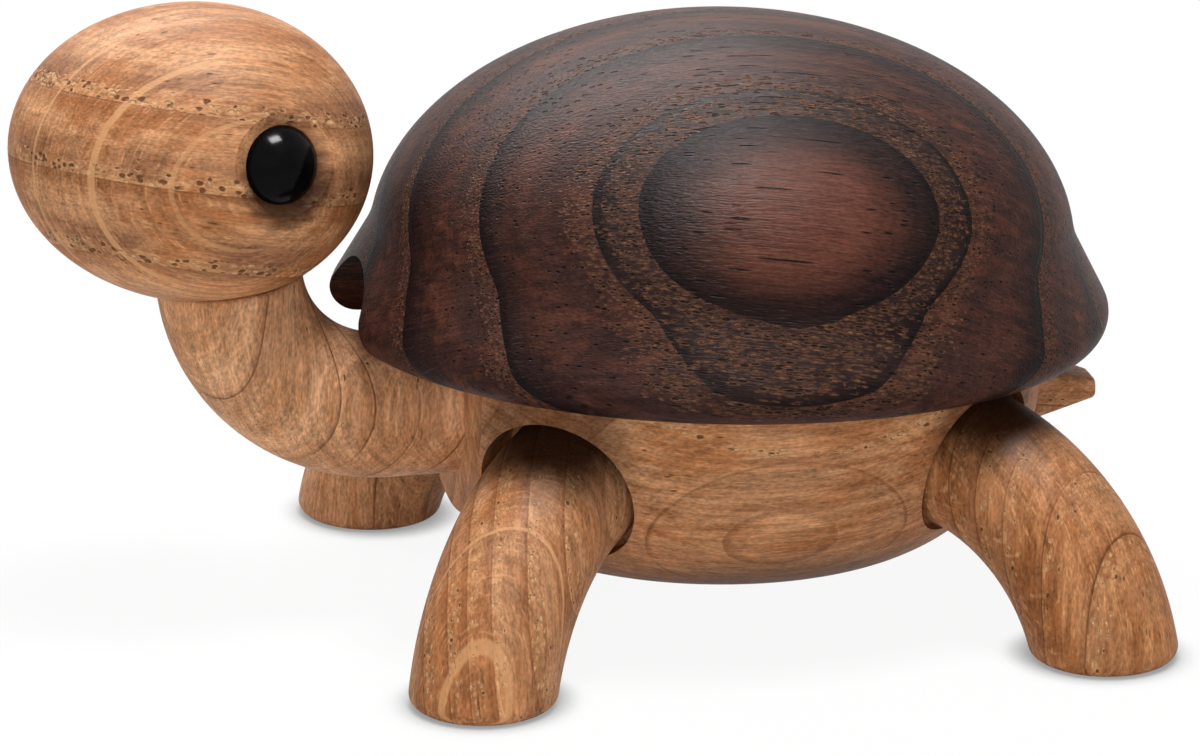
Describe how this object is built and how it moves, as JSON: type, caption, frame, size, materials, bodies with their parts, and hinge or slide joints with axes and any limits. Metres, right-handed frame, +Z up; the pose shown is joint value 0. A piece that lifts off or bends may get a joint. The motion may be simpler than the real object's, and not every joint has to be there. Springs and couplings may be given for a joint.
{
  "type": "turtle figurine",
  "caption": "Turned wooden turtle with a dark domed shell, bent neck and legs, and black bead eyes; head and legs turn on dowels.",
  "frame": {"origin": "on the floor under the middle of the figure's bounding box", "axes": "+X from the nose to the tail, so the figure faces -X; +Y to the figure's right side; +Z up"},
  "size_m": [0.0952, 0.0626, 0.0547],
  "materials": {
    "oak": "oiled oak, satin",
    "smoked_oak": "dark smoked oak, satin",
    "eye_black": "polished black",
    "dowel_beech": "plain beech dowel",
    "ring_rubber": "matt black rubber"
  },
  "bodies": {
    "torso": {"torso": "oak", "shell": "smoked_oak", "shell_dowels": "dowel_beech", "neck": "oak", "neck_dowel": "dowel_beech", "tail": "oak", "tail_dowel": "dowel_beech"},
    "head": {"head": "oak", "left_eye": "eye_black", "right_eye": "eye_black", "head_dowel": "dowel_beech", "head_friction_ring": "ring_rubber"},
    "front_left_leg": {"front_left_leg": "oak", "front_left_leg_dowel": "dowel_beech", "front_left_friction_ring": "ring_rubber"},
    "front_right_leg": {"front_right_leg": "oak", "front_right_leg_dowel": "dowel_beech", "front_right_friction_ring": "ring_rubber"},
    "rear_left_leg": {"rear_left_leg": "oak", "rear_left_leg_dowel": "dowel_beech", "rear_left_friction_ring": "ring_rubber"},
    "rear_right_leg": {"rear_right_leg": "oak", "rear_right_leg_dowel": "dowel_beech", "rear_right_friction_ring": "ring_rubber"}
  },
  "joints": [
    {"name": "head_turn", "type": "hinge", "parent": "torso", "child": "head", "pos_m": [-0.02908, 0, 0.03063], "axis": [-0.0802, 0, 0.9968], "range_deg": [-90, 90]},
    {"name": "front_left_leg_turn", "type": "hinge", "parent": "torso", "child": "front_left_leg", "pos_m": [-0.00172, -0.01361, 0.01543], "axis": [-0.6726, -0.7213, -0.165], "range_deg": [-45, 45]},
    {"name": "front_right_leg_turn", "type": "hinge", "parent": "torso", "child": "front_right_leg", "pos_m": [-0.00172, 0.01361, 0.01543], "axis": [-0.6726, 0.7213, -0.165], "range_deg": [-45, 45]},
    {"name": "rear_left_leg_turn", "type": "hinge", "parent": "torso", "child": "rear_left_leg", "pos_m": [0.03067, -0.01361, 0.01543], "axis": [0.6726, -0.7213, -0.165], "range_deg": [-45, 45]},
    {"name": "rear_right_leg_turn", "type": "hinge", "parent": "torso", "child": "rear_right_leg", "pos_m": [0.03067, 0.01361, 0.01543], "axis": [0.6726, 0.7213, -0.165], "range_deg": [-45, 45]}
  ]
}
